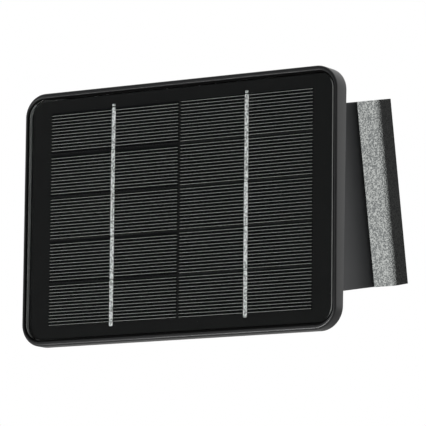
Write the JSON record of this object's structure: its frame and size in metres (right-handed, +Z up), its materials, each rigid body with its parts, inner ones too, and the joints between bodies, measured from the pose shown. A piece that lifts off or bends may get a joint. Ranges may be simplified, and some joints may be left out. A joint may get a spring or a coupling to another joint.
{
  "type": "solar-powered security camera",
  "caption": "Wall-hung camera unit: framed solar panel leaning back on a flared body that slides onto an extruded wall profile, with a ball camera on its underside.",
  "frame": {"origin": "centre of the wall profile's back face, on the wall", "axes": "+Z up, -Y away from the wall towards the viewer, +X to the right of a person facing the wall"},
  "size_m": [0.1878, 0.0846, 0.1313],
  "materials": {
    "tray_plastic": "smooth moulded anthracite plastic",
    "panel_glass": "clear tempered glass",
    "cell_silicon": "dark blue-black silicon with fine silver fingers",
    "ribbon_metal": "tinned solder ribbon, mottled",
    "backsheet_film": "black film",
    "seal_rubber": "black sealant and foam",
    "steel_screw": "bright zinc-plated steel",
    "inner_plastic": "plain black moulding",
    "lead_sheath": "black cable sheath",
    "plug_ivory": "ivory nylon",
    "body_plastic": "smooth satin anthracite plastic",
    "powder_coat": "fine-textured anthracite powder coat",
    "battery_wrap": "blue shrink sleeve",
    "contact_plate": "nickel plate",
    "circuit_board": "green solder mask",
    "tin_plate": "tin-plated steel",
    "copper_film": "copper on film",
    "card_plastic": "black card",
    "button_grey": "grey moulding",
    "button_red": "dark red moulding",
    "flap_rubber": "black elastomer",
    "light_guide": "clear moulding",
    "mic_metal": "plated can",
    "fresnel_plastic": "milky ribbed plastic",
    "turret_plastic": "satin black moulding",
    "lens_black": "flat black barrel",
    "lens_optic": "coated glass",
    "smoked_window": "smoked acrylic",
    "lamp_epoxy": "tinted epoxy"
  },
  "bodies": {
    "housing": {"panel_tray": "tray_plastic", "solar_glass": "panel_glass", "solar_cells": "cell_silicon", "cell_ribbons": "ribbon_metal", "panel_backsheet": "backsheet_film", "panel_sealant": "seal_rubber", "panel_gasket": "seal_rubber", "panel_screws": "steel_screw", "junction_box": "inner_plastic", "panel_lead": "lead_sheath", "lead_plug": "plug_ivory", "body_shell": "body_plastic", "bottom_cover": "body_plastic", "cover_gasket": "seal_rubber", "cover_screws": "steel_screw", "wall_profile": "powder_coat", "locking_screws": "steel_screw", "battery_holder": "inner_plastic", "battery_cells": "battery_wrap", "battery_contacts": "contact_plate", "main_board": "circuit_board", "processor_shield": "tin_plate", "board_screws": "steel_screw", "wifi_antenna": "copper_film", "usb_socket": "tin_plate", "card_socket": "tin_plate", "button_switches": "inner_plastic", "port_cover_pin": "steel_screw", "status_light": "light_guide", "microphone": "mic_metal", "speaker": "inner_plastic", "pir_lens": "fresnel_plastic", "pir_sensor": "tin_plate", "retaining_ring": "tin_plate", "retaining_screws": "steel_screw"},
    "turret": {"turret_ring": "turret_plastic"},
    "camera_ball": {"ball_front": "turret_plastic", "ball_rear": "turret_plastic", "tilt_pins": "steel_screw", "lens_barrel": "lens_black", "lens_glass": "lens_optic", "face_window": "smoked_window", "ir_lamps": "lamp_epoxy", "sensor_board": "circuit_board"},
    "port_flap": {"port_cover": "flap_rubber"},
    "power_key": {"power_button": "button_grey"},
    "reset_key": {"reset_button": "button_red"},
    "card": {"memory_card": "card_plastic"}
  },
  "joints": [
    {"name": "camera_pan", "type": "hinge", "parent": "housing", "child": "turret", "pos_m": [0, -0.0415, -0.0465], "axis": [0, 0, 1], "range_deg": [-75, 75]},
    {"name": "camera_tilt", "type": "hinge", "parent": "turret", "child": "camera_ball", "pos_m": [0, -0.0415, -0.0465], "axis": [1, 0, 0], "range_deg": [-5, 45]},
    {"name": "port_cover_hinge", "type": "hinge", "parent": "housing", "child": "port_flap", "pos_m": [-0.043, -0.0173, -0.0489], "axis": [1, 0, 0], "range_deg": [0, 95]},
    {"name": "power_press", "type": "slide", "parent": "housing", "child": "power_key", "axis": [0, 0, 1], "range_m": [0, 0.0008], "stiffness_N_per_m": 900, "springref_m": -0.0004},
    {"name": "reset_press", "type": "slide", "parent": "housing", "child": "reset_key", "axis": [0, 0, 1], "range_m": [0, 0.0005], "stiffness_N_per_m": 900, "springref_m": -0.0004},
    {"name": "card_press", "type": "slide", "parent": "housing", "child": "card", "axis": [0, 0, 1], "range_m": [0, 0.0008], "stiffness_N_per_m": 500, "springref_m": -0.0003}
  ]
}
